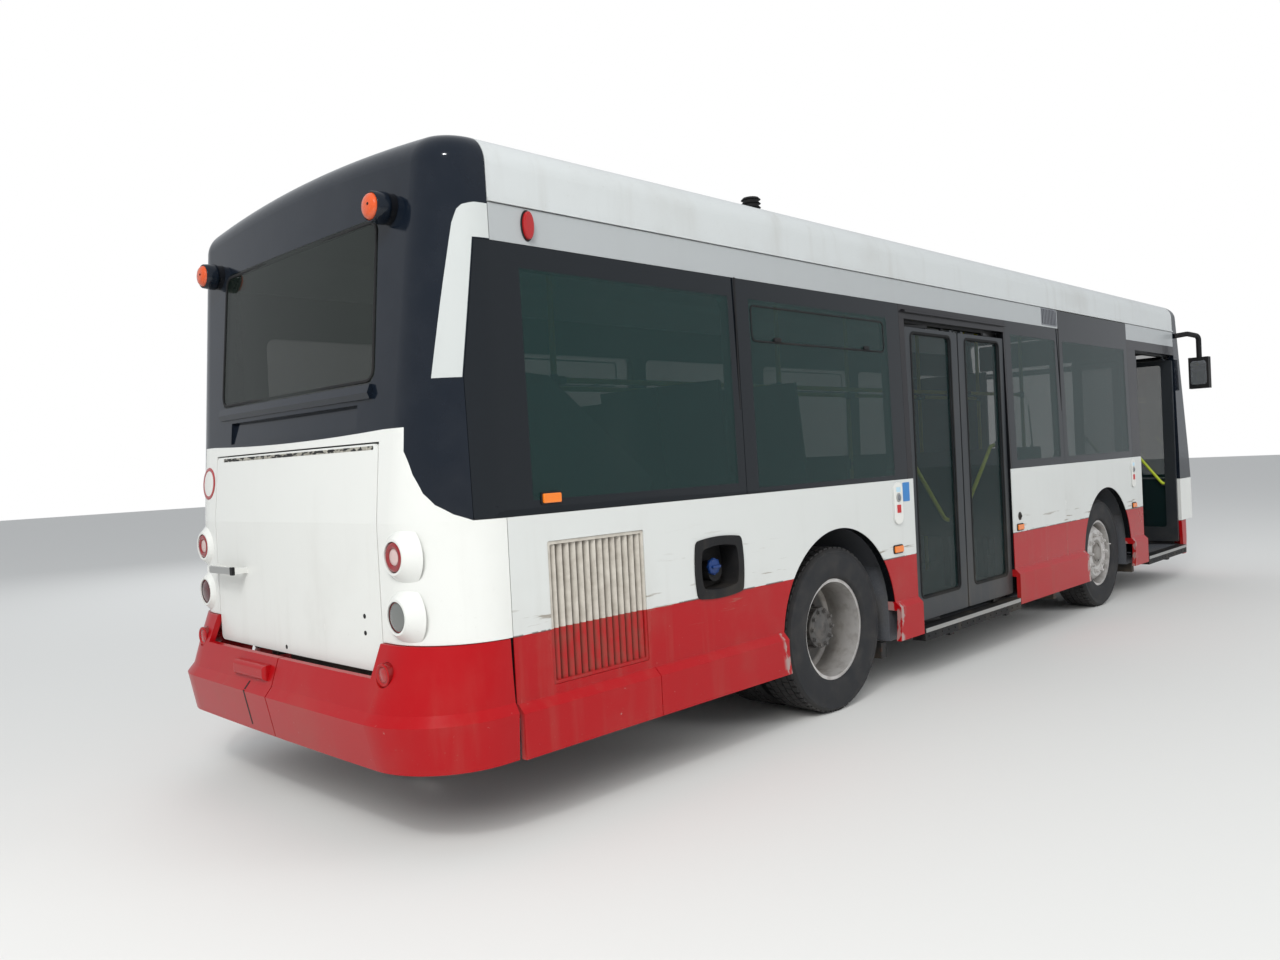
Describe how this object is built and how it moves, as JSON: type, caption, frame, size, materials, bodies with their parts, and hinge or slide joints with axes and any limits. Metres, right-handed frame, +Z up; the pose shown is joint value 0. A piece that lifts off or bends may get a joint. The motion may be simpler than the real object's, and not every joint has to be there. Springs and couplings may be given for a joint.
{
  "type": "city bus",
  "caption": "Ten metre low-entry city bus with twin inward-gliding doors, flush side glass, a black rear mask and a side radiator grille.",
  "frame": {"origin": "on the ground at mid length and mid width, under the middle of the bus", "axes": "+X points forward along the bus, +Y to its left, +Z up"},
  "size_m": [9.8498, 2.88, 2.964],
  "materials": {
    "body_paint": "gloss white paint over a red lower band",
    "flap_paint": "gloss white paint",
    "red_paint": "gloss red paint, scuffed",
    "black_gloss": "gloss blue-black panels",
    "black_plastic": "matt black moulded plastic",
    "tinted_glass": "dark tinted glass",
    "clear_glass": "lightly tinted glass",
    "door_frame": "black painted aluminium",
    "door_post": "grey painted steel",
    "grille_paint": "dusty painted louvres",
    "lamp_lens": "moulded lamp lenses",
    "headlamp": "clear lamp units",
    "tyre_rubber": "worn tyre rubber",
    "rim_steel": "silver painted steel rims, dusty",
    "chassis_steel": "black underseal and road dirt",
    "floor_vinyl": "grey speckled floor covering",
    "cover_grey": "dark grey moulded covers",
    "seat_shell": "dark moulded seat shells",
    "seat_fabric": "blue seat fabric",
    "handrail_yellow": "yellow coated tube"
  },
  "bodies": {
    "body": {"roof": "body_paint", "right_wall": "body_paint", "left_wall": "body_paint", "side_glazing": "tinted_glass", "rear_fascia": "body_paint", "corner_columns": "body_paint", "rear_mask": "black_gloss", "rear_window": "tinted_glass", "front_panel": "body_paint", "headlamps": "headlamp", "front_mask": "black_gloss", "windscreen": "clear_glass", "rear_bumper": "red_paint", "front_bumper": "black_plastic", "rear_lamps": "lamp_lens", "skirts": "red_paint", "side_grille": "grille_paint", "filler_recess": "black_plastic", "door_headers": "door_frame", "door_sills": "black_plastic", "front_axle": "chassis_steel", "rear_axle": "chassis_steel", "floor": "floor_vinyl", "chassis": "chassis_steel", "engine_cover": "cover_grey", "engine_block": "chassis_steel", "fuel_tank": "chassis_steel", "seat_shells": "seat_shell", "seat_pads": "seat_fabric", "dashboard": "black_plastic", "steering_wheel": "black_plastic", "cab_partition": "cover_grey", "handrails": "handrail_yellow", "mirrors": "black_plastic", "wipers": "black_plastic", "roof_vent": "black_plastic"},
    "engine_flap": {"engine_flap": "flap_paint"},
    "front_right_steer": {"front_right_knuckle": "chassis_steel"},
    "front_right_wheel": {"front_right_tyre": "tyre_rubber", "front_right_rim": "rim_steel"},
    "rear_right_wheel": {"rear_right_tyre": "tyre_rubber", "rear_right_rim": "rim_steel"},
    "front_left_steer": {"front_left_knuckle": "chassis_steel"},
    "front_left_wheel": {"front_left_tyre": "tyre_rubber", "front_left_rim": "rim_steel"},
    "rear_left_wheel": {"rear_left_tyre": "tyre_rubber", "rear_left_rim": "rim_steel"},
    "middle_door_rear_arm": {"middle_door_rear_post": "door_post"},
    "middle_door_rear_leaf": {"middle_door_rear_leaf": "door_frame", "middle_door_rear_glass": "clear_glass"},
    "middle_door_front_arm": {"middle_door_front_post": "door_post"},
    "middle_door_front_leaf": {"middle_door_front_leaf": "door_frame", "middle_door_front_glass": "clear_glass"},
    "front_door_rear_arm": {"front_door_rear_post": "door_post"},
    "front_door_rear_leaf": {"front_door_rear_leaf": "door_frame", "front_door_rear_glass": "clear_glass"},
    "front_door_front_arm": {"front_door_front_post": "door_post"},
    "front_door_front_leaf": {"front_door_front_leaf": "door_frame", "front_door_front_glass": "clear_glass"}
  },
  "joints": [
    {"name": "engine_flap_hinge", "type": "hinge", "parent": "body", "child": "engine_flap", "pos_m": [-4.787, -0.7905, 1.17], "axis": [0, 0, 1], "range_deg": [0, 90]},
    {"name": "steer_right", "type": "hinge", "parent": "body", "child": "front_right_steer", "pos_m": [2.31, -0.88, 0.479], "axis": [0, 0, 1], "range_deg": [-40, 40]},
    {"name": "roll_front_right", "type": "hinge", "parent": "front_right_steer", "child": "front_right_wheel", "pos_m": [2.31, -0.993, 0.479], "axis": [0, 1, 0], "continuous": true},
    {"name": "roll_rear_right", "type": "hinge", "parent": "body", "child": "rear_right_wheel", "pos_m": [-2.03, -1.018, 0.479], "axis": [0, 1, 0], "continuous": true},
    {"name": "steer_left", "type": "hinge", "parent": "body", "child": "front_left_steer", "pos_m": [2.31, 0.88, 0.479], "axis": [0, 0, 1], "range_deg": [-40, 40]},
    {"name": "roll_front_left", "type": "hinge", "parent": "front_left_steer", "child": "front_left_wheel", "pos_m": [2.31, 0.993, 0.479], "axis": [0, 1, 0], "continuous": true},
    {"name": "roll_rear_left", "type": "hinge", "parent": "body", "child": "rear_left_wheel", "pos_m": [-2.03, 1.018, 0.479], "axis": [0, 1, 0], "continuous": true},
    {"name": "middle_door_rear_swing", "type": "hinge", "parent": "body", "child": "middle_door_rear_arm", "pos_m": [-1.183, -1.1, 1.3], "axis": [0, 0, 1], "range_deg": [0, 90]},
    {"name": "middle_door_rear_turn", "type": "hinge", "parent": "middle_door_rear_arm", "child": "middle_door_rear_leaf", "pos_m": [-0.8435, -1.162, 1.3], "axis": [0, 0, 1], "range_deg": [-180, 0]},
    {"name": "middle_door_front_swing", "type": "hinge", "parent": "body", "child": "middle_door_front_arm", "pos_m": [0.341, -1.1, 1.3], "axis": [0, 0, -1], "range_deg": [0, 90]},
    {"name": "middle_door_front_turn", "type": "hinge", "parent": "middle_door_front_arm", "child": "middle_door_front_leaf", "pos_m": [0.0015, -1.162, 1.3], "axis": [0, 0, -1], "range_deg": [-180, 0]},
    {"name": "front_door_rear_swing", "type": "hinge", "parent": "body", "child": "front_door_rear_arm", "pos_m": [3.235, -1.1, 1.3], "axis": [0, 0, 1], "range_deg": [-90, 0]},
    {"name": "front_door_rear_turn", "type": "hinge", "parent": "front_door_rear_arm", "child": "front_door_rear_leaf", "pos_m": [3.297, -0.82525, 1.3], "axis": [0, 0, 1], "range_deg": [0, 180]},
    {"name": "front_door_front_swing", "type": "hinge", "parent": "body", "child": "front_door_front_arm", "pos_m": [4.5, -1.1, 1.3], "axis": [0, 0, -1], "range_deg": [-90, 0]},
    {"name": "front_door_front_turn", "type": "hinge", "parent": "front_door_front_arm", "child": "front_door_front_leaf", "pos_m": [4.438, -0.82525, 1.3], "axis": [0, 0, -1], "range_deg": [0, 180]}
  ],
  "couplings": [
    {"joint": "steer_right", "follows": "steer_left", "ratio": 1},
    {"joint": "middle_door_rear_turn", "follows": "middle_door_rear_swing", "ratio": -2},
    {"joint": "middle_door_front_turn", "follows": "middle_door_front_swing", "ratio": -2},
    {"joint": "front_door_rear_turn", "follows": "front_door_rear_swing", "ratio": -2},
    {"joint": "front_door_front_turn", "follows": "front_door_front_swing", "ratio": -2}
  ]
}
